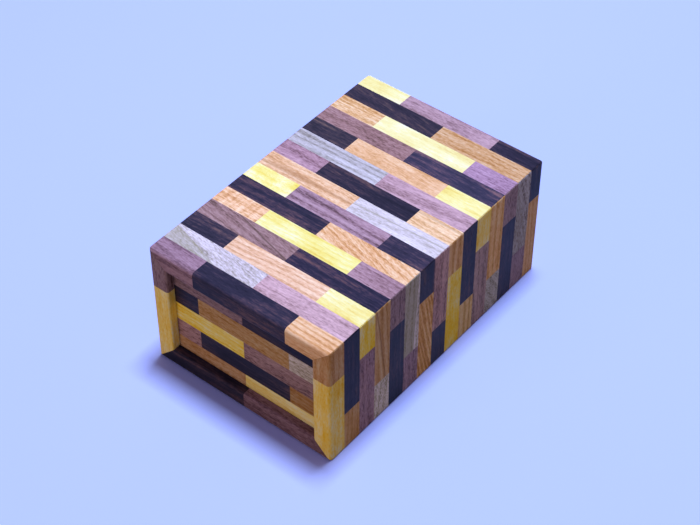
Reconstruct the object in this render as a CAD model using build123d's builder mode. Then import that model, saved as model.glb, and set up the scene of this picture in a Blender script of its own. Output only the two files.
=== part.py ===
"""Sliding lid box of solid wood mosaic, in millimetres.

Four mosaic boards make a mitred tube. Its top board is the lid, which slides out to the rear on two
runners. A mosaic panel closes each end. The front panel slides up a little in its grooves, and its
top edge then enters a groove under the lid and locks it. Every block of the mosaic is a solid.

The origin is the middle of the underside: +Y runs to the rear, along the lid's travel, and +Z up.
"""
from build123d import *
import os
from math import ceil

# ------------------------------------------------------------------ driving dimensions
box_length = 104.0
box_width = 68.0
box_height = 46.0
wall = 6.4
long_edge_radius = 0.5  # on the tube's four mitred edges
end_edge_radius = 1.2  # round the outside of its two ends
mouth_edge_radius = 0.8  # round the inside of the same ends

strip_pitch = 7.0  # width of a row of blocks; a wall's end rows and a panel's lowest take up the rest
wall_rows = 15
panel_rows = 5
block_length = 34.8  # a whole block, measured along its row

# Each board's earliest joint along its rows. The other rows' joints lie half a block further on.
lid_first_joint = 17.2  # odd rows, from the left edge
right_first_joint = 13.4  # odd rows, from the top edge
bottom_first_joint = 16.0  # even rows, from the right edge
left_first_joint = 13.5  # even rows, from the bottom edge
panel_first_joint = 11.3  # even rows, from the panel's left edge

panel_setback = 3.0  # from the tube's end to the panel's outer face
panel_thickness = 5.0
panel_tongue = 2.0  # how far a panel's edge stands in its groove
panel_lift = 1.8  # travel of the front panel
panel_top_play = 0.2  # between a lowered panel and the lid
panel_side_play = 0.2  # between the front panel's edge and the end of its groove
panel_face_play = 0.15  # between the front panel's face and its groove

lid_play = 0.12  # between the lid's mitre and the side wall's, measured level
runner_web = 2.4  # thickness of the part that hangs from the lid
runner_drop = 3.2  # height of the runner under the lid
tongue_reach = 2.5  # how far the runner's tongue enters the side wall
tongue_height = 2.0
runner_play = 0.2
runner_front_gap = 4.0  # from the front panel's inner face to the runner's front end
stop_play = 0.1  # left at each end of the lid's travel

stop_pin_radius = 1.5
stop_pin_setback = 17.0  # from the lid's front end to the pin's axis
stop_pin_drop = 2.8
stop_pin_depth = 3.0  # length of the pin inside the lid
stop_pin_glue = 0.05
stop_pin_chamfer = 0.4

inner_board = 1.5  # thickness of the plain boards inside
inner_board_play = 0.3  # from the front panel's inner face to the front inner board
inner_top_gap = 0.4  # from the inner boards' top edges to the runners

# ------------------------------------------------------------------ worked-out places
front = -box_length / 2
rear = box_length / 2
inner_x = box_width / 2 - wall
ceiling = box_height - wall  # underside of the lid

panel_half_width = inner_x + panel_tongue
panel_bottom = wall - panel_tongue
panel_top = ceiling - panel_top_play
front_panel_outer = front + panel_setback
front_panel_inner = front_panel_outer + panel_thickness
rear_panel_outer = rear - panel_setback
rear_panel_inner = rear_panel_outer - panel_thickness

runner_outer = inner_x - runner_play
runner_inner = runner_outer - runner_web
runner_bottom = ceiling - runner_drop
tongue_outer = inner_x + tongue_reach
tongue_top = runner_bottom + tongue_height
runner_front = front_panel_inner + runner_front_gap

stop_pin_y = front + stop_pin_setback
lid_travel = rear_panel_inner - stop_pin_radius - stop_play - stop_pin_y

floor_top = wall + inner_board
inner_top = runner_bottom - inner_top_gap
inner_front = front_panel_inner + inner_board_play

# ------------------------------------------------------------------ the woods and their order
woods = ("walnut", "wenge", "keyaki", "haze", "magnolia")
odd_cycle = ("walnut", "wenge", "keyaki", "haze")
even_cycle = ("magnolia", "walnut", "wenge", "keyaki")


def joints(first_joint, count):
    """Places of the glued end joints along a row."""
    return [first_joint + n * block_length for n in range(count)]


def late_joints(first_joint, count):
    """The same for the rows between, which are shifted by half a block."""
    return joints(first_joint + block_length / 2, count)


def lay_blocks(edges, run, odd_row, even_row, step):
    """The blocks of a board, as (row's first edge, row's second edge, start, end, wood).

    odd_row and even_row hold the joints and the first wood of those rows. The last block of a row
    takes up the rest of its run. Each pair of rows starts step woods further on in its cycle.
    """
    blocks = []
    for row, (first_edge, second_edge) in enumerate(zip(edges, edges[1:])):
        places, first_wood = even_row if row % 2 else odd_row
        cycle = even_cycle if row % 2 else odd_cycle
        ends = [0.0, *places, run]
        for index, (start, end) in enumerate(zip(ends, ends[1:])):
            wood = cycle[(first_wood + step * (row // 2) + index) % len(cycle)]
            blocks.append((first_edge, second_edge, start, end, wood))
    return blocks


# rows of a wall from front to rear, and of a panel from the top down
end_row = (box_length - (wall_rows - 2) * strip_pitch) / 2
wall_edges = [front, *(front + end_row + n * strip_pitch for n in range(wall_rows - 1)), rear]
panel_edges = [panel_top - n * strip_pitch for n in range(panel_rows)] + [panel_bottom]

lid_blocks = lay_blocks(
    wall_edges, box_width, (joints(lid_first_joint, 2), 0), (late_joints(lid_first_joint, 1), 0), 1
)
right_blocks = lay_blocks(
    wall_edges, box_height, (joints(right_first_joint, 1), 2), (late_joints(right_first_joint, 1), 2), 1
)
bottom_blocks = lay_blocks(
    wall_edges, box_width, (late_joints(bottom_first_joint, 1), 0), (joints(bottom_first_joint, 2), 3), 1
)
left_blocks = lay_blocks(
    wall_edges, box_height, (late_joints(left_first_joint, 1), 3), (joints(left_first_joint, 1), 2), 1
)
panel_blocks = lay_blocks(
    panel_edges,
    2 * panel_half_width,
    (late_joints(panel_first_joint, 1), 0),
    (joints(panel_first_joint, 2), 2),
    -1,
)


# ------------------------------------------------------------------ helpers
os.makedirs("parts", exist_ok=True)


def span_box(low, high, mode=Mode.ADD):
    """A box between two opposite corners."""
    middle = tuple((a + b) / 2 for a, b in zip(low, high))
    with Locations(middle):
        Box(*(b - a for a, b in zip(low, high)), mode=mode)


def save(part, name):
    """Labels a finished piece and writes it."""
    part.label = name
    export_step(part, f"parts/{name}.step")


def save_blocks(board, name, cells):
    """Cuts a board into its blocks and writes one node for each wood.

    cells holds (low corner, high corner, wood) for each block.
    """
    for wood in woods:
        with BuildPart() as blocks:
            for low, high, block_wood in cells:
                if block_wood == wood:
                    span_box(low, high)
            add(board, mode=Mode.INTERSECT)
        save(blocks.part, f"{name}_{wood}")


# ------------------------------------------------------------------ the tube
# All four walls in one piece, before they are parted at the mitres. The pocket is the groove in
# which the front panel slides, with the groove under the lid that the raised panel enters.
pocket_half_width = panel_half_width + panel_side_play
pocket_top = ceiling + panel_tongue + panel_side_play

with BuildPart() as tube:
    Box(box_width, box_length, box_height, align=(Align.CENTER, Align.CENTER, Align.MIN))
    fillet(tube.edges().filter_by(Axis.Y), long_edge_radius)
    ends = (tube.faces().sort_by(Axis.Y)[0], tube.faces().sort_by(Axis.Y)[-1])
    fillet([edge for end in ends for edge in end.edges()], end_edge_radius)
    span_box((-inner_x, front, wall), (inner_x, rear, ceiling), Mode.SUBTRACT)
    rims = (tube.faces().sort_by(Axis.Y)[0], tube.faces().sort_by(Axis.Y)[-1])
    fillet([edge for rim in rims for edge in rim.inner_wires()[0].edges()], mouth_edge_radius)
    span_box(
        (-pocket_half_width, front_panel_outer - panel_face_play, panel_bottom),
        (pocket_half_width, front_panel_inner + panel_face_play, pocket_top),
        Mode.SUBTRACT,
    )


def mitre_section(first, second, play=0.0):
    """The section between two neighbouring corners of the tube, cut off at 45 degrees at each."""
    outer_x, inner_reach = box_width / 2 + wall, box_width / 2 - 2 * wall
    outer_z, inner_z = (-wall, box_height + wall), (2 * wall, box_height - 2 * wall)
    points = [(first, outer_x, outer_z), (second, outer_x, outer_z)]
    points += [(second, inner_reach, inner_z), (first, inner_reach, inner_z)]
    corners = [(side * (x - play), z[top]) for (side, top), x, z in points]
    with BuildSketch(Plane.XZ) as section:
        with BuildLine():
            Polyline(*corners, close=True)
        make_face()
    return section.sketch


# corners of the tube, as (side, top)
bottom_left, bottom_right, top_right, top_left = (-1, 0), (1, 0), (1, 1), (-1, 1)

lid_section = mitre_section(top_right, top_left, lid_play)
with BuildPart() as lid_board:
    add(tube.part)
    extrude(lid_section, amount=box_length, both=True, mode=Mode.INTERSECT)
    with Locations((0, stop_pin_y, ceiling + stop_pin_depth / 2)):
        Cylinder(stop_pin_radius + stop_pin_glue, stop_pin_depth, mode=Mode.SUBTRACT)


def fixed_board(first, second):
    """A wall of the body, with its share of the rear panel's groove and the runners' grooves."""
    section = mitre_section(first, second)
    with BuildPart() as board:
        add(tube.part)
        extrude(section, amount=box_length, both=True, mode=Mode.INTERSECT)
        span_box(
            (-panel_half_width, rear_panel_inner, panel_bottom),
            (panel_half_width, rear_panel_outer, ceiling + panel_tongue),
            Mode.SUBTRACT,
        )
        span_box(
            (-tongue_outer - runner_play, runner_front - stop_play, runner_bottom - runner_play),
            (tongue_outer + runner_play, rear, tongue_top + runner_play),
            Mode.SUBTRACT,
        )
    return board.part


# ------------------------------------------------------------------ lid and walls
left = -box_width / 2
right = box_width / 2

save_blocks(
    lid_board.part,
    "lid",
    [
        ((left + start, row_front, 0), (left + end, row_rear, box_height), wood)
        for row_front, row_rear, start, end, wood in lid_blocks
    ],
)
save_blocks(
    fixed_board(bottom_right, top_right),
    "right_wall",
    [
        ((0, row_front, box_height - end), (right, row_rear, box_height - start), wood)
        for row_front, row_rear, start, end, wood in right_blocks
    ],
)
save_blocks(
    fixed_board(bottom_left, bottom_right),
    "bottom_wall",
    [
        ((right - end, row_front, 0), (right - start, row_rear, box_height), wood)
        for row_front, row_rear, start, end, wood in bottom_blocks
    ],
)
save_blocks(
    fixed_board(top_left, bottom_left),
    "left_wall",
    [
        ((left, row_front, start), (0, row_rear, end), wood)
        for row_front, row_rear, start, end, wood in left_blocks
    ],
)


# ------------------------------------------------------------------ end panels
def panel_cells(low_y, high_y):
    """The blocks of a panel whose faces stand at the two places along Y."""
    return [
        ((start - panel_half_width, low_y, row_bottom), (end - panel_half_width, high_y, row_top), wood)
        for row_top, row_bottom, start, end, wood in panel_blocks
    ]


with BuildPart() as front_panel_board:
    span_box(
        (-panel_half_width, front_panel_outer, panel_bottom),
        (panel_half_width, front_panel_inner, panel_top),
    )
save_blocks(front_panel_board.part, "front_panel", panel_cells(front_panel_outer, front_panel_inner))

# The rear panel is glued in its groove. Its top corners are notched for the runners.
with BuildPart() as rear_panel_board:
    span_box(
        (-panel_half_width, rear_panel_inner, panel_bottom),
        (panel_half_width, rear_panel_outer, panel_top),
    )
    for side in (-1, 1):
        notch_ends = sorted((side * (runner_inner - runner_play), side * panel_half_width))
        span_box(
            (notch_ends[0], rear_panel_inner, runner_bottom - runner_play),
            (notch_ends[1], rear_panel_outer, panel_top),
            Mode.SUBTRACT,
        )
save_blocks(rear_panel_board.part, "rear_panel", panel_cells(rear_panel_inner, rear_panel_outer))


# ------------------------------------------------------------------ what the lid slides on
def lid_runner(side):
    """An L-shaped bar glued under the lid. Its tongue runs in the side wall's groove."""
    section = [
        (runner_inner, ceiling),
        (runner_outer, ceiling),
        (runner_outer, tongue_top),
        (tongue_outer, tongue_top),
        (tongue_outer, runner_bottom),
        (runner_inner, runner_bottom),
    ]
    with BuildPart() as runner:
        with BuildSketch(Plane.XZ.offset(-runner_front)):
            with BuildLine():
                Polyline(*((side * x, z) for x, z in section), close=True)
            make_face()
        extrude(amount=runner_front - rear_panel_outer)
    return runner.part


save(lid_runner(-1), "lid_runner_left")
save(lid_runner(1), "lid_runner_right")

with BuildPart() as stop_pin:
    with Locations((0, stop_pin_y, ceiling - stop_pin_drop)):
        Cylinder(
            stop_pin_radius,
            stop_pin_drop + stop_pin_depth,
            align=(Align.CENTER, Align.CENTER, Align.MIN),
        )
    chamfer(stop_pin.edges().sort_by(Axis.Z)[0], stop_pin_chamfer)
save(stop_pin.part, "lid_stop_pin")

# ------------------------------------------------------------------ inner boards
with BuildPart() as floor_board:
    span_box((-inner_x, inner_front, wall), (inner_x, rear_panel_inner, floor_top))
save(floor_board.part, "inner_floor")

for side, side_name in ((-1, "left"), (1, "right")):
    side_ends = sorted((side * (inner_x - inner_board), side * inner_x))
    with BuildPart() as side_board:
        span_box(
            (side_ends[0], inner_front, floor_top),
            (side_ends[1], rear_panel_inner, inner_top),
        )
    save(side_board.part, f"inner_{side_name}_board")

for end_name, end_y in (("front", inner_front), ("rear", rear_panel_inner - inner_board)):
    with BuildPart() as end_board:
        span_box(
            (inner_board - inner_x, end_y, floor_top),
            (inner_x - inner_board, end_y + inner_board, inner_top),
        )
    save(end_board.part, f"inner_{end_name}_board")

print(f"lid travel {lid_travel:.2f}, front panel travel {panel_lift:.2f}")
print(f"inside {2 * (inner_x - inner_board):.1f} x {rear_panel_inner - inner_front - 2 * inner_board:.1f}"
      f" x {inner_top - floor_top:.1f}")
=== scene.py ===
import math
import random

import bmesh
import bpy
from mathutils import Matrix, Vector


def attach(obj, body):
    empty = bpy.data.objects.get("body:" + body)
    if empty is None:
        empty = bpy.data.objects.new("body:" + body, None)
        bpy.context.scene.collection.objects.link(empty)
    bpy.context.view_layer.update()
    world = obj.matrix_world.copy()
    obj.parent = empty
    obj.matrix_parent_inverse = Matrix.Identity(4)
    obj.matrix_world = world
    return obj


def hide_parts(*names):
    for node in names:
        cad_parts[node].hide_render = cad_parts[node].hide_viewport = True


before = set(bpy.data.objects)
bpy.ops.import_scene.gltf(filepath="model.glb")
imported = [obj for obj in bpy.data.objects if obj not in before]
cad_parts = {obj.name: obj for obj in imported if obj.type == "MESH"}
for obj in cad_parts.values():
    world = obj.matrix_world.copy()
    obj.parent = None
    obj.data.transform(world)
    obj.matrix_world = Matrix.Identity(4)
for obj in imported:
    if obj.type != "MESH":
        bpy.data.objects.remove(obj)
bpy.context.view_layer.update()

MM = 0.001

# ------------------------------------------------------------------ camera
# solved from the photograph, in metres and in mm of a 36 mm sensor
CAMERA_PLACE = (0.2404, -0.3001, 0.3986)
CAMERA_DIRECTION = (-0.44655, 0.55645, -0.70068)
FOCAL_LENGTH = 89.86

camera_data = bpy.data.cameras.new("camera")
camera_data.sensor_fit = "HORIZONTAL"
camera_data.sensor_width = 36.0
camera_data.lens = FOCAL_LENGTH
camera_data.clip_start = 0.01
camera_data.clip_end = 20.0
camera = bpy.data.objects.new("camera", camera_data)
bpy.context.scene.collection.objects.link(camera)
camera.location = CAMERA_PLACE
camera.rotation_mode = "QUATERNION"
camera.rotation_quaternion = Vector(CAMERA_DIRECTION).to_track_quat("-Z", "Y")
bpy.context.scene.camera = camera


# ------------------------------------------------------------------ shader helpers
class Tree:
    """Short calls that add shader nodes to a material or world."""

    def __init__(self, owner):
        owner.use_nodes = True
        self.nodes = owner.node_tree.nodes
        self.links = owner.node_tree.links
        self.nodes.clear()

    def node(self, kind, inputs=None, **settings):
        made = self.nodes.new("ShaderNode" + kind)
        for key, value in settings.items():
            setattr(made, key, value)
        for key, value in (inputs or {}).items():
            if isinstance(value, bpy.types.NodeSocket):
                self.links.new(value, made.inputs[key])
            else:
                made.inputs[key].default_value = value
        return made

    def math(self, operation, *values, clamp=False):
        inputs = dict(enumerate(values))
        return self.node("Math", inputs, operation=operation, use_clamp=clamp).outputs[0]

    def vector(self, operation, *values):
        inputs = dict(enumerate(values))
        made = self.node("VectorMath", inputs, operation=operation)
        return made.outputs["Value" if operation == "LENGTH" else "Vector"]

    def split(self, vector):
        made = self.node("SeparateXYZ", {0: vector})
        return [made.outputs[n] for n in range(3)]

    def attribute(self, name):
        return self.node("Attribute", attribute_name=name).outputs["Vector"]

    def noise(self, vector, frequency, detail=2.0, roughness=0.5):
        """Noise of a vector in mm. frequency is per mm, along, across and in depth."""
        scaled = self.vector("MULTIPLY", vector, frequency)
        inputs = {"Vector": scaled, "Scale": 1.0, "Detail": detail, "Roughness": roughness}
        return self.node("TexNoise", inputs)

    def smooth(self, value, low, high, out_low=0.0, out_high=1.0):
        """Goes smoothly from out_low to out_high while the value goes from low to high."""
        inputs = {"Value": value, 1: low, 2: high, 3: out_low, 4: out_high}
        return self.node("MapRange", inputs, interpolation_type="SMOOTHSTEP").outputs[0]

    def ramp(self, factor, stops):
        made = self.node("ValToRGB", {0: factor})
        elements = made.color_ramp.elements
        while len(elements) < len(stops):
            elements.new(0.5)
        for element, (place, colour) in zip(elements, stops):
            element.position = place
            element.color = (*colour, 1.0)
        return made.outputs[0]

    def mix(self, factor, first, second):
        """A mix of two colours. Each may be a socket or plain numbers."""
        made = self.node("Mix", {0: factor}, data_type="RGBA")
        for index, value in ((6, first), (7, second)):
            if isinstance(value, bpy.types.NodeSocket):
                self.links.new(value, made.inputs[index])
            else:
                made.inputs[index].default_value = (*value, 1.0)
        return made.outputs[2]


# ------------------------------------------------------------------ woods
# The noises that make the grain: frequency per mm along, across and in depth, detail, roughness.
BEND = ((0.05, 0.16, 0.16), 2.0, 0.5)
BANDS = ((0.035, 0.42, 0.42), 2.0, 0.55)
FINE = ((0.25, 1.9, 1.9), 2.0, 0.65)
SPECKS = ((0.75, 2.2, 2.2), 1.0, 0.6)
PATCHES = ((0.09, 0.16, 0.16), 1.0, 0.5)
RIPPLES = ((0.75, 0.10, 0.10), 1.0, 0.5)
UNEVEN_RINGS = ((0.02, 0.25, 0.25), 1.0, 0.5)
DASHES = ((0.50, 3.0, 3.0), 0.0, 0.5)

RING_UNEVENNESS = 1.6  # in rings
RING_FRAYING = 0.25  # in rings
EARLY_WOOD_END = 0.35  # where a ring's dark start has faded, as a share of the ring
LATE_WOOD_START = 0.60  # where it begins to darken again
PORE_FADE = (0.58, 0.70)  # from wood to pore, in the dashes' noise
PORES_AWAY_FROM_START = 0.5  # how many pores lie there, as a share of those at a ring's start
FULL_PORES_FROM = 0.6  # of the way to the start's full depth
LINE_BEND = 1.5  # how far the bands bend a block's line, in widths of the line
TWO_TONE_FADE = 0.9  # half the width over which two tones meet, in the same widths
LINE_HALF_WIDTH = 0.5
ROUGHNESS_SPREAD = 0.3
PORE_ROUGHNESS = 0.15  # added in a pore
PORE_HEIGHT = -0.8  # of the bump, beside the fine lines' 1
BUMP_STRENGTH = 0.4
BUMP_HEIGHT = 0.03 * MM
REFRACTION = 1.48
GLOSS = 0.05


def wood(
    name,
    stops,
    ring,
    ring_depth,
    band_depth,
    fine_depth,
    speck_depth,
    patch_depth,
    pore_depth,
    pore_colour,
    dark,
    warp=0.5,
    roughness=0.45,
):
    """A wood whose grain runs along the x of the mesh attribute "grain", which is in mm.

    stops are the colours from the darkest to the lightest, ring is the growth rings' mean width in
    mm, and warp is how far the grain bends, in mm. The depths say how much each pattern shows.

    The other attributes hold each block's look: its own, and off the lid also painted shade. "tone"
    is its value, hue and saturation, which carry that painted shade.
    "habit" is the depth of its rings, ripples and fine lines. "figure" is a signed distance from a
    line drawn across the block, with the depths of the two tones and of the dark line there.
    """
    material = bpy.data.materials.new(name)
    t = Tree(material)
    grain = t.attribute("grain")
    value, hue, saturation = t.split(t.attribute("tone"))
    ring_habit, ripple_habit, fine_habit = t.split(t.attribute("habit"))
    distance, two_tone, line = t.split(t.attribute("figure"))

    bend = t.vector("SUBTRACT", t.noise(grain, *BEND).outputs["Color"], (0.5, 0.5, 0.5))
    grain = t.vector("ADD", grain, t.vector("MULTIPLY", bend, (0.0, 2 * warp, 2 * warp)))
    bands, fine, specks, patches, ripples = (
        t.noise(grain, *kind).outputs[0] for kind in (BANDS, FINE, SPECKS, PATCHES, RIPPLES)
    )

    # growth rings round a pith that lies well outside the block, dark at their start and end
    radius = t.vector("LENGTH", t.vector("MULTIPLY", grain, (0.0, 1.0, 1.0)))
    uneven = t.noise(grain, *UNEVEN_RINGS).outputs[0]
    rings = t.math("MULTIPLY_ADD", uneven, RING_UNEVENNESS, t.math("DIVIDE", radius, ring))
    phase = t.math("FRACT", t.math("MULTIPLY_ADD", fine, RING_FRAYING, rings))
    start = t.smooth(phase, 0.0, EARLY_WOOD_END, 1.0, 0.0)
    growth = t.math("MAXIMUM", start, t.smooth(phase, LATE_WOOD_START, 1.0))

    factor = 0.5
    for pattern, depth in (
        (bands, 2 * band_depth),
        (specks, t.math("MULTIPLY", fine_habit, 2 * speck_depth)),
        (patches, 2 * patch_depth),
        (ripples, ripple_habit),
        (fine, t.math("MULTIPLY", fine_habit, 2 * fine_depth)),
        (growth, t.math("MULTIPLY", ring_habit, -ring_depth)),
    ):
        factor = t.math("MULTIPLY_ADD", t.math("SUBTRACT", pattern, 0.5), depth, factor)
    colour = t.ramp(factor, stops)

    # pores, denser where a ring starts
    dashes = t.noise(grain, *DASHES).outputs[0]
    density = t.smooth(start, 0.0, FULL_PORES_FROM, PORES_AWAY_FROM_START, 1.0)
    pores = t.math("MULTIPLY", t.smooth(dashes, *PORE_FADE), density)
    colour = t.mix(t.math("MULTIPLY", pores, pore_depth), colour, pore_colour)

    # two tones and a dark line, where a block has them
    bent = t.math("MULTIPLY_ADD", t.math("SUBTRACT", bands, 0.5), LINE_BEND, distance)
    side = t.smooth(bent, -TWO_TONE_FADE, TWO_TONE_FADE, 1.0, 0.0)
    colour = t.mix(t.math("MULTIPLY", side, two_tone), colour, dark)
    thin = t.smooth(t.math("ABSOLUTE", bent), 0.0, LINE_HALF_WIDTH, 1.0, 0.0)
    colour = t.mix(t.math("MULTIPLY", thin, line), colour, dark)

    inputs = {
        "Hue": t.math("ADD", hue, 0.5),
        "Saturation": saturation,
        "Value": value,
        "Color": colour,
    }
    colour = t.node("HueSaturation", inputs).outputs[0]

    rough = t.math("MULTIPLY_ADD", t.math("SUBTRACT", fine, 0.5), ROUGHNESS_SPREAD, roughness)
    rough = t.math("MULTIPLY_ADD", pores, PORE_ROUGHNESS, rough, clamp=True)
    height = t.math("MULTIPLY_ADD", pores, PORE_HEIGHT, fine)
    inputs = {"Strength": BUMP_STRENGTH, "Distance": BUMP_HEIGHT, "Height": height}
    bump = t.node("Bump", inputs).outputs[0]
    shader = t.node(
        "BsdfPrincipled",
        {
            "Base Color": colour,
            "Roughness": rough,
            "Normal": bump,
            "IOR": REFRACTION,
            "Specular IOR Level": GLOSS,
        },
    )
    t.node("OutputMaterial", {0: shader.outputs[0]})
    return material


# Colours are linear.
WOODS = {
    "walnut": wood(
        "walnut",
        [
            (0.0, (0.15, 0.078, 0.092)),
            (0.3, (0.31, 0.178, 0.212)),
            (0.55, (0.43, 0.258, 0.31)),
            (1.0, (0.57, 0.365, 0.435)),
        ],
        ring=2.6, ring_depth=0.12, band_depth=0.44, fine_depth=0.46, speck_depth=0.42,
        patch_depth=0.20, pore_depth=0.40, pore_colour=(0.14, 0.072, 0.08),
        dark=(0.13, 0.065, 0.065),
    ),
    # Wenge's colours are its own near-black and brown, with a blue cast that is painted sheen: the
    # reflection of the blue surroundings.
    "wenge": wood(
        "wenge",
        [
            (0.0, (0.016, 0.015, 0.030)),
            (0.45, (0.032, 0.027, 0.052)),
            (0.65, (0.061, 0.041, 0.066)),
            (1.0, (0.16, 0.088, 0.095)),
        ],
        ring=1.6, ring_depth=0.12, band_depth=0.70, fine_depth=0.50, speck_depth=0.26,
        patch_depth=0.30, pore_depth=0.4, pore_colour=(0.013, 0.012, 0.022),
        dark=(0.013, 0.012, 0.022), warp=0.4, roughness=0.40,
    ),
    "keyaki": wood(
        "keyaki",
        [
            (0.0, (0.52, 0.25, 0.115)),
            (0.3, (0.69, 0.39, 0.195)),
            (0.55, (0.85, 0.53, 0.315)),
            (1.0, (0.98, 0.74, 0.52)),
        ],
        ring=1.7, ring_depth=0.25, band_depth=0.42, fine_depth=0.34, speck_depth=0.42,
        patch_depth=0.25, pore_depth=0.30, pore_colour=(0.42, 0.20, 0.085),
        dark=(0.33, 0.15, 0.065),
    ),
    "haze": wood(
        "haze",
        [
            (0.0, (0.86, 0.60, 0.10)),
            (0.3, (0.95, 0.78, 0.20)),
            (0.6, (0.99, 0.88, 0.34)),
            (1.0, (0.99, 0.97, 0.72)),
        ],
        ring=1.9, ring_depth=0.14, band_depth=0.44, fine_depth=0.30, speck_depth=0.26,
        patch_depth=0.48, pore_depth=0.20, pore_colour=(0.72, 0.48, 0.08),
        dark=(0.62, 0.36, 0.05),
    ),
    "magnolia": wood(
        "magnolia",
        [
            (0.0, (0.23, 0.195, 0.17)),
            (0.3, (0.43, 0.38, 0.375)),
            (0.55, (0.575, 0.515, 0.555)),
            (1.0, (0.78, 0.72, 0.82)),
        ],
        ring=2.4, ring_depth=0.16, band_depth=0.36, fine_depth=0.26, speck_depth=0.38,
        patch_depth=0.20, pore_depth=0.20, pore_colour=(0.24, 0.20, 0.16),
        dark=(0.26, 0.235, 0.15), warp=0.3,
    ),
    "plain_wood": wood(
        "plain_wood",
        [
            (0.0, (0.48, 0.36, 0.22)),
            (0.4, (0.66, 0.53, 0.36)),
            (1.0, (0.78, 0.66, 0.49)),
        ],
        ring=2.8, ring_depth=0.25, band_depth=0.25, fine_depth=0.22, speck_depth=0.15,
        patch_depth=0.2, pore_depth=0.10, pore_colour=(0.36, 0.25, 0.14),
        dark=(0.36, 0.25, 0.14), roughness=0.55,
    ),
    "hardwood": wood(
        "hardwood",
        [
            (0.0, (0.24, 0.115, 0.05)),
            (0.4, (0.40, 0.21, 0.10)),
            (1.0, (0.52, 0.31, 0.16)),
        ],
        ring=2.2, ring_depth=0.2, band_depth=0.30, fine_depth=0.28, speck_depth=0.2,
        patch_depth=0.2, pore_depth=0.3, pore_colour=(0.18, 0.08, 0.03),
        dark=(0.18, 0.08, 0.03), roughness=0.48,
    ),
}

# ------------------------------------------------------------------ the blocks
ALONG_X, ALONG_Y, ALONG_Z = Vector((1, 0, 0)), Vector((0, 1, 0)), Vector((0, 0, 1))

# board: body, direction of the grain, direction across the rows
BOARDS = {
    "lid": ("lid", ALONG_X, ALONG_Y),
    "right_wall": ("box_body", ALONG_Z, ALONG_Y),
    "left_wall": ("box_body", ALONG_Z, ALONG_Y),
    "bottom_wall": ("box_body", ALONG_X, ALONG_Y),
    "front_panel": ("front_panel", ALONG_X, ALONG_Z),
    "rear_panel": ("box_body", ALONG_X, ALONG_Z),
}
MOSAIC_WOODS = ("walnut", "wenge", "keyaki", "haze", "magnolia")

# node: body, direction of the grain, direction across, slot
PLAIN = {
    "inner_floor": ("box_body", ALONG_Y, ALONG_X, "plain_wood"),
    "inner_left_board": ("box_body", ALONG_Y, ALONG_Z, "plain_wood"),
    "inner_right_board": ("box_body", ALONG_Y, ALONG_Z, "plain_wood"),
    "inner_front_board": ("box_body", ALONG_X, ALONG_Z, "plain_wood"),
    "inner_rear_board": ("box_body", ALONG_X, ALONG_Z, "plain_wood"),
    "lid_runner_left": ("lid", ALONG_Y, ALONG_X, "hardwood"),
    "lid_runner_right": ("lid", ALONG_Y, ALONG_X, "hardwood"),
    "lid_stop_pin": ("lid", ALONG_Z, ALONG_X, "hardwood"),
}

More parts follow.
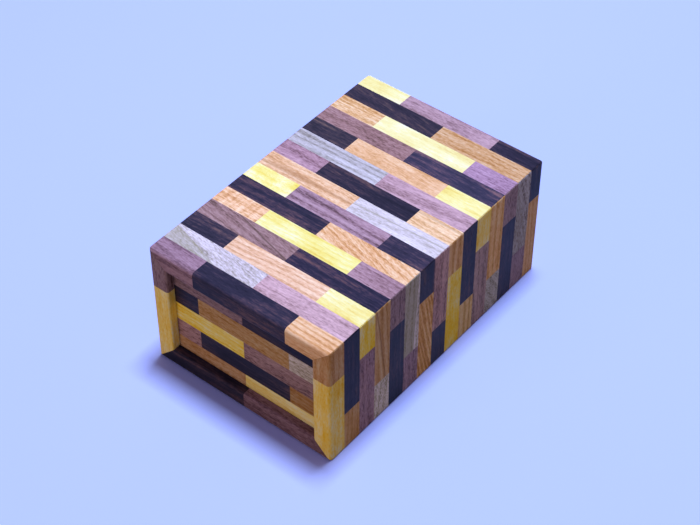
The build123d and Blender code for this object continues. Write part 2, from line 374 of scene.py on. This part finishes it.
# Blocks whose look the photograph shows, by board, row and wood. Rows count from the front, or on a
# panel from the top. value and saturation multiply the wood's own, and hue shifts it. rings, ripple
# and fine are the depths of those patterns, and a negative depth swaps dark and light. turn is the
# grain's angle to the row and pith is the direction of the rings' centre, both in degrees. coarse
# makes the figure short and mottled. line is (place along, place across, angle, width, two tones'
# depth, line's depth), in mm and degrees.
FIGURES = {
    ("lid", 1, "walnut"): {"value": 0.80, "hue": -0.03, "rings": 2.0},
    ("lid", 1, "wenge"): {"value": 1.15},
    ("lid", 1, "keyaki"): {"saturation": 1.08, "rings": 1.5, "pith": 5},
    ("lid", 2, "magnolia"): {
        "turn": -12, "line": (-6.0, -1.1, -17, 1.0, 0.42, 0.5), "value": 1.22, "saturation": 1.15,
        "fine": 1.5,
    },
    ("lid", 2, "walnut"): {"value": 1.42, "hue": 0.01},
    ("lid", 3, "keyaki"): {
        "value": 1.09, "saturation": 0.93, "hue": -0.006, "rings": 1.3, "turn": 3, "pith": 20,
    },
    ("lid", 4, "walnut"): {
        "turn": -9, "line": (2.0, 1.3, -15.5, 0.9, 0.0, 0.7), "value": 0.79, "hue": 0.05,
        "saturation": 1.06, "rings": 2.5, "fine": 1.3,
    },
    ("lid", 4, "wenge"): {"saturation": 1.1},
    ("lid", 5, "keyaki"): {"value": 1.08, "ripple": 1.0, "rings": 1.0, "saturation": 0.98},
    ("lid", 5, "haze"): {"saturation": 0.98},
    ("lid", 5, "walnut"): {"value": 0.89, "hue": 0.01, "rings": 2.5, "fine": 1.2},
    ("lid", 6, "keyaki"): {
        "turn": -18, "value": 1.05, "saturation": 1.04, "rings": 1.2, "fine": 1.3,
    },
    ("lid", 7, "haze"): {"saturation": 1.08, "coarse": 2.5},
    ("lid", 7, "wenge"): {"value": 1.3},
    ("lid", 7, "walnut"): {"value": 0.90, "hue": -0.015, "rings": 3.5, "pith": 5, "fine": 1.3},
    ("lid", 8, "keyaki"): {
        "value": 1.05, "line": (0.0, -0.9, 0.5, 2.4, 0.0, 0.4), "rings": 0.6, "turn": 0.5,
    },
    ("lid", 8, "magnolia"): {
        "turn": 2, "line": (0.0, 0.8, 2.1, 0.7, 0.0, 0.6), "value": 1.36, "rings": 0.2,
    },
    ("lid", 9, "walnut"): {"value": 1.18},
    ("lid", 9, "keyaki"): {
        "value": 1.06, "line": (0.0, 2.6, 0, 1.4, 0.0, 0.35), "rings": 1.2, "pith": 10,
    },
    ("lid", 10, "magnolia"): {
        "value": 0.88, "saturation": 0.75, "rings": 2.2, "pith": 0, "turn": 0,
    },
    ("lid", 10, "walnut"): {"turn": 4, "value": 1.3, "rings": 2.2, "pith": 40},
    ("lid", 11, "wenge"): {"saturation": 0.85, "hue": 0.02},
    ("lid", 11, "keyaki"): {"ripple": 0.15, "rings": 0.5},
    ("lid", 12, "walnut"): {
        "value": 0.84, "hue": 0.05, "saturation": 1.1, "rings": 1.5, "fine": 1.3,
    },
    ("lid", 12, "wenge"): {"value": 1.7},
    ("lid", 13, "keyaki"): {"value": 0.96, "saturation": 1.1, "rings": 1.1, "fine": 1.4},
    ("lid", 13, "haze"): {"saturation": 0.82},
    ("lid", 13, "walnut"): {"value": 1.05, "hue": -0.07},
    ("lid", 14, "wenge"): {"turn": -8, "saturation": 0.85, "hue": 0.03, "value": 0.92},
    ("lid", 14, "keyaki"): {"value": 0.84, "saturation": 1.08, "rings": 0.9, "fine": 1.2},
    ("lid", 15, "haze"): {"saturation": 0.80},
    ("lid", 15, "walnut"): {"value": 1.15, "saturation": 0.95, "rings": 0.4},
    # On the walls and the front panel a value is partly the block's own tone and partly painted
    # shade, darker because these faces lie in shade.
    ("right_wall", 1, "keyaki"): {"value": 0.66, "saturation": 1.25},
    ("right_wall", 2, "keyaki"): {"value": 0.70},
    ("right_wall", 3, "haze"): {"saturation": 1.2, "rings": 1.0, "pith": 5},
    ("right_wall", 3, "walnut"): {"value": 0.86, "hue": -0.02, "rings": 2.0, "pith": 10},
    ("right_wall", 4, "keyaki"): {
        "turn": -6, "line": (-4.0, 0.0, -8, 0.9, 0.0, 0.65), "value": 0.70, "rings": 1.5,
    },
    ("right_wall", 4, "magnolia"): {
        "coarse": 1.4, "turn": 6, "value": 1.42, "saturation": 1.3, "rings": 2.5, "pith": 40,
        "fine": 3.4,
    },
    ("right_wall", 5, "walnut"): {"value": 0.78, "rings": 2.5, "pith": 10},
    ("right_wall", 6, "magnolia"): {
        "turn": 2, "line": (0.0, 1.6, 3, 0.9, 0.6, 0.6), "saturation": 1.3, "rings": 3.5, "pith": 0,
        "value": 1.02,
    },
    ("right_wall", 6, "walnut"): {"value": 0.80, "hue": -0.04, "rings": 2.5, "pith": 10},
    ("right_wall", 7, "keyaki"): {
        "turn": -14, "rings": -2.2, "pith": 10, "fine": 1.2, "value": 0.90,
    },
    ("right_wall", 8, "walnut"): {"value": 1.05, "hue": 0.03, "rings": 2.0},
    ("right_wall", 9, "keyaki"): {"value": 0.84, "rings": 2.0},
    ("right_wall", 10, "keyaki"): {"value": 0.88, "hue": 0.014, "rings": 2.0},
    ("right_wall", 11, "walnut"): {"value": 0.95, "hue": 0.03, "rings": 2.5, "pith": 15},
    ("right_wall", 12, "keyaki"): {"value": 0.92, "rings": 1.5},
    ("right_wall", 12, "magnolia"): {"coarse": 1.6, "turn": -30, "rings": 2.5, "fine": 3.0},
    ("right_wall", 14, "magnolia"): {
        "turn": -12, "line": (0.0, 0.0, -14, 1.6, 0.3, 0.5), "value": 0.78, "hue": -0.04,
    },
    ("right_wall", 14, "walnut"): {"value": 0.76, "hue": -0.03},
    ("front_panel", 1, "walnut"): {"value": 0.60, "fine": 1.8},
    ("front_panel", 1, "wenge"): {"value": 0.52},
    ("front_panel", 2, "keyaki"): {"value": 0.62, "saturation": 1.25, "fine": 1.4},
    ("front_panel", 2, "magnolia"): {"value": 1.30},
    ("front_panel", 3, "haze"): {"saturation": 1.1, "hue": -0.012, "rings": 1.5, "pith": 0},
    ("front_panel", 3, "walnut"): {"value": 0.86, "hue": 0.02},
    ("front_panel", 4, "walnut"): {"value": 1.0, "hue": 0.03},
    ("front_panel", 4, "wenge"): {"value": 0.95},
    ("front_panel", 4, "keyaki"): {"value": 0.49, "saturation": 1.2},
    ("front_panel", 5, "keyaki"): {"value": 0.62, "saturation": 1.15, "fine": 1.4},
    ("front_panel", 5, "haze"): {"saturation": 1.0, "hue": -0.015, "rings": 1.2, "pith": 0},
    ("bottom_wall", 1, "walnut"): {"value": 0.53},
    ("left_wall", 1, "walnut"): {"value": 0.60, "rings": 2.5, "pith": 10},
}
# Off the lid the blocks carry painted shade: the woods are a little darker, and haze and keyaki are
# deeper in colour, as the shaded sides and ends look. Their fine lines also show more, which is
# grain.
# Magnolia's line lies outside the block, so the whole block takes on some of the dark tone, a
# painted shade that makes it less blue.
OFF_LID_PAINTED_SHADE_AND_GRAIN = {
    "walnut": {"value": 0.84, "fine": 1.7},
    "wenge": {"value": 0.75},
    "keyaki": {"value": 0.80, "saturation": 1.18},
    "haze": {"hue": -0.024, "saturation": 1.20, "fine": 1.4},
    "magnolia": {"saturation": 1.15, "fine": 2.6, "line": (0, 30, 0, 1, 0.35, 0.0)},
}
# how much the blocks of a wood differ in value and in hue
SPREAD = {
    "walnut": (0.06, 0.008),
    "wenge": (0.10, 0.01),
    "keyaki": (0.04, 0.004),
    "haze": (0.01, 0.003),
    "magnolia": (0.05, 0.005),
    "plain_wood": (0.03, 0.003),
    "hardwood": (0.03, 0.003),
}

# What chance gives a block. Angles are in degrees, to either side, and lengths in mm.
TURN, TILT, PITH_ANGLE = 2.0, 2.5, 60
PITH_DISTANCE = (18, 60)
PLANK_LENGTH = 600
SATURATION_SPREAD = 0.08
RINGS, RIPPLE, FINE_LINES = (0.5, 1.3), (0.0, 0.12), (0.8, 1.15)

NO_LINE = (0, 0, 0, 1, 0, 0)

GLUED_EDGE = 0.03 * MM  # the small bevel on every edge of a block
PLAIN_EDGE = 0.15 * MM  # and on the boards inside, the runners and the pin
SAME_PLACE = 1e-6  # metres, vertices nearer than this are one
FLAT = math.radians(0.3)  # faces that meet at less than this are one
SHARP = math.radians(35)  # edges sharper than this get the bevel
SMOOTH = math.radians(30)  # edges flatter than this are shaded smooth

ROW_PITCH = 7.0  # mm
MIDDLE_WALL_ROW = 8  # of 15, at y = 0
TOP_PANEL_ROW = 35.9  # height of its middle, in mm


def solids(source):
    """The closed pieces of a CAD mesh, each as a bmesh of its own with flat faces merged."""
    whole = bmesh.new()
    whole.from_mesh(source.data)
    bmesh.ops.remove_doubles(whole, verts=whole.verts, dist=SAME_PLACE)
    whole.faces.ensure_lookup_table()
    left = set(whole.faces)
    found = []
    for first in whole.faces:
        if first not in left:
            continue
        left.discard(first)
        island, waiting = [first], [first]
        while waiting:
            face = waiting.pop()
            for edge in face.edges:
                if len(edge.link_faces) != 2:
                    continue
                for other in edge.link_faces:
                    if other in left:
                        left.discard(other)
                        island.append(other)
                        waiting.append(other)
        one = bmesh.new()
        copies = {}
        for face in island:
            for vert in face.verts:
                if vert.index not in copies:
                    copies[vert.index] = one.verts.new(vert.co)
            one.faces.new([copies[vert.index] for vert in face.verts])
        bmesh.ops.dissolve_limit(one, angle_limit=FLAT, verts=one.verts[:], edges=one.edges[:])
        found.append(one)
    whole.free()
    return found


def bevel(mesh, width):
    """Breaks the sharp edges of a piece."""
    sharp = [edge for edge in mesh.edges if edge.is_manifold and edge.calc_face_angle() > SHARP]
    bmesh.ops.bevel(
        mesh, geom=sharp, offset=width, offset_type="OFFSET", segments=1,
        affect="EDGES", clamp_overlap=True,
    )


def block_attributes(vertices, key, wood_name, along, across, figure):
    """The grain, tone, habit and figure of one block, for each of its vertices."""
    chance = random.Random(" ".join(str(word) for word in key))
    low = Vector([min(v[n] for v in vertices) for n in range(3)])
    high = Vector([max(v[n] for v in vertices) for n in range(3)])
    centre = (low + high) / 2
    depth = along.cross(across)
    value_spread, hue_spread = SPREAD[wood_name]

    turn = math.radians(figure.get("turn", chance.uniform(-TURN, TURN)))
    tilt = math.radians(chance.uniform(-TILT, TILT))
    pith_angle = math.radians(figure.get("pith", chance.uniform(-PITH_ANGLE, PITH_ANGLE)))
    pith_distance = chance.uniform(*PITH_DISTANCE)
    offset = Vector((
        chance.uniform(0, PLANK_LENGTH),
        pith_distance * math.cos(pith_angle),
        pith_distance * math.sin(pith_angle),
    ))
    value = figure.get("value", 1.0) * (1 + chance.uniform(-1, 1) * value_spread)
    hue = figure.get("hue", 0.0) + chance.uniform(-1, 1) * hue_spread
    saturation = figure.get("saturation", 1.0)
    saturation *= 1 + chance.uniform(-SATURATION_SPREAD, SATURATION_SPREAD)
    habit = (
        figure.get("rings", chance.uniform(*RINGS)),
        figure.get("ripple", chance.uniform(*RIPPLE)),
        figure.get("fine", chance.uniform(*FINE_LINES)),
    )
    line_u, line_v, line_angle, line_width, two_tone, line = figure.get("line", NO_LINE)
    line_angle = math.radians(line_angle)
    coarse = figure.get("coarse", 1.0)

    to_grain = (Matrix.Rotation(turn, 3, "Z") @ Matrix.Rotation(tilt, 3, "Y")).inverted()
    grain, tones, habits, lines = [], [], [], []
    for vertex in vertices:
        local = (vertex - centre) / MM
        place = Vector((local.dot(along), local.dot(across), local.dot(depth)))
        turned = to_grain @ place
        turned.x *= coarse
        grain.extend(turned + offset)
        tones.extend((value, hue, saturation))
        habits.extend(habit)
        distance = (place.y - line_v) * math.cos(line_angle)
        distance -= (place.x - line_u) * math.sin(line_angle)
        lines.extend((distance / line_width, two_tone, line))
    return grain, tones, habits, lines


def build_piece(piece_name, node_name, body, slot, along, across, edge, key_of):
    """One mesh that stands for a CAD node, with the wood's attributes on it.

    edge is the width of the bevel, and key_of gives a solid's key from its vertices' places.
    """
    vertices, faces = [], []
    grain, tones, habits, lines = [], [], [], []
    for solid in solids(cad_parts[node_name]):
        bevel(solid, edge)
        solid.verts.index_update()
        places = [vert.co.copy() for vert in solid.verts]
        start = len(vertices)
        key = key_of(places)
        # blocks off the lid get painted shade, and deeper fine lines, from the table above
        shade = {} if key[0] == "lid" else OFF_LID_PAINTED_SHADE_AND_GRAIN.get(slot, {})
        figure = {**shade, **FIGURES.get(key, {})}
        for total, part in zip(
            (grain, tones, habits, lines),
            block_attributes(places, key, slot, along, across, figure),
        ):
            total.extend(part)
        vertices.extend(places)
        faces.extend([start + vert.index for vert in face.verts] for face in solid.faces)
        solid.free()
    mesh = bpy.data.meshes.new(piece_name)
    mesh.from_pydata(vertices, [], faces)
    mesh.shade_smooth()
    mesh.set_sharp_from_angle(angle=SMOOTH)
    named = {"grain": grain, "tone": tones, "habit": habits, "figure": lines}
    for name, values in named.items():
        attribute = mesh.attributes.new(name, "FLOAT_VECTOR", "POINT")
        attribute.data.foreach_set("vector", values)
    mesh.materials.append(WOODS[slot])
    piece = bpy.data.objects.new(piece_name, mesh)
    bpy.context.scene.collection.objects.link(piece)
    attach(piece, body)
    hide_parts(node_name)


def middle(places, axis):
    """The middle of a block along an axis, in mm."""
    values = [place.dot(axis) / MM for place in places]
    return (min(values) + max(values)) / 2


def wall_row(places):
    """The row of a block in the lid or a wall, from 1 at the front."""
    return round(middle(places, ALONG_Y) / ROW_PITCH) + MIDDLE_WALL_ROW


def panel_row(places):
    """The row of a block in an end panel, from 1 at the top."""
    return round((TOP_PANEL_ROW - middle(places, ALONG_Z)) / ROW_PITCH) + 1


for board, (body, along, across) in BOARDS.items():
    row_of = panel_row if board.endswith("panel") else wall_row
    for wood_name in MOSAIC_WOODS:
        node_name = f"{board}_{wood_name}"
        build_piece(
            f"{node_name}_blocks", node_name, body, wood_name, along, across, GLUED_EDGE,
            lambda places: (board, row_of(places), wood_name),
        )

for node_name, (body, along, across, slot) in PLAIN.items():
    build_piece(
        f"{node_name}_piece", node_name, body, slot, along, across, PLAIN_EDGE,
        lambda places: (node_name, 0, "plain"),
    )

# ------------------------------------------------------------------ floor, light and surroundings
# The floor and the surroundings as the camera and reflections see them
FLOOR_COLOUR = (0.535, 0.625, 1.15)
SURROUNDINGS = (0.50, 0.62, 0.98)
# and as they light the box.
FLOOR_BOUNCE = (0.33, 0.27, 0.13)
WORLD_LIGHT = (0.20, 0.165, 0.25)

FLOOR_REACH = 3.0  # metres
FLOOR_DROP = 0.05 * MM  # keeps the floor clear of the box's underside
FLOOR_FADE = (0.22, 0.60)  # metres from the box, where the floor goes over into the surroundings

floor_mesh = bpy.data.meshes.new("floor")
corners = [(-1, -1), (1, -1), (1, 1), (-1, 1)]
floor_mesh.from_pydata([(x * FLOOR_REACH, y * FLOOR_REACH, 0) for x, y in corners], [], [range(4)])
floor = bpy.data.objects.new("floor", floor_mesh)
floor.location.z = -FLOOR_DROP
bpy.context.scene.collection.objects.link(floor)


def seen_directly(t):
    """1 for rays from the camera, a reflection or glass, and 0 for light that spreads."""
    path = t.node("LightPath")
    seen = t.math("MAXIMUM", path.outputs["Is Camera Ray"], path.outputs["Is Glossy Ray"])
    return t.math("MAXIMUM", seen, path.outputs["Is Transmission Ray"])


floor_material = bpy.data.materials.new("floor")
t = Tree(floor_material)
direct = seen_directly(t)
floor_colour = t.mix(direct, FLOOR_BOUNCE, FLOOR_COLOUR)
near_shader = t.node("BsdfDiffuse", {"Color": floor_colour})
# far from the box, where the lamps no longer reach, the floor goes over into the surroundings
distance = t.vector("LENGTH", t.node("TexCoord").outputs["Object"])
far = t.math("MULTIPLY", t.smooth(distance, *FLOOR_FADE), direct)
far_shader = t.node("Emission", {"Color": (*SURROUNDINGS, 1.0), "Strength": 1.0})
floor_shader = t.node("MixShader", {0: far, 1: near_shader.outputs[0], 2: far_shader.outputs[0]})
t.node("OutputMaterial", {0: floor_shader.outputs[0]})
floor_mesh.materials.append(floor_material)

world = bpy.data.worlds.new("world")
bpy.context.scene.world = world
t = Tree(world)
world_colour = t.mix(seen_directly(t), WORLD_LIGHT, SURROUNDINGS)
background = t.node("Background", {"Color": world_colour, "Strength": 1.0})
t.node("OutputWorld", {0: background.outputs[0]})


def lamp(name, place, target, size, power, colour):
    """A soft square lamp that faces the target. Lengths are in metres and power in watts."""
    data = bpy.data.lights.new(name, "AREA")
    data.shape = "SQUARE"
    data.size = size
    data.energy = power
    data.color = colour
    made = bpy.data.objects.new(name, data)
    bpy.context.scene.collection.objects.link(made)
    made.location = place
    made.rotation_mode = "QUATERNION"
    made.rotation_quaternion = (Vector(target) - Vector(place)).to_track_quat("-Z", "Y")


lamp(
    "key", place=(0.0, 0.118, 1.05), target=(0, 0, 0.03), size=0.20, power=10.0,
    colour=(0.82, 0.96, 1.27),
)
lamp(
    "fill", place=(-0.25, -1.0, 0.12), target=(0, 0, 0.02), size=0.36, power=1.95,
    colour=(1.0, 0.76, 0.60),
)

bpy.context.scene.view_settings.view_transform = "Standard"
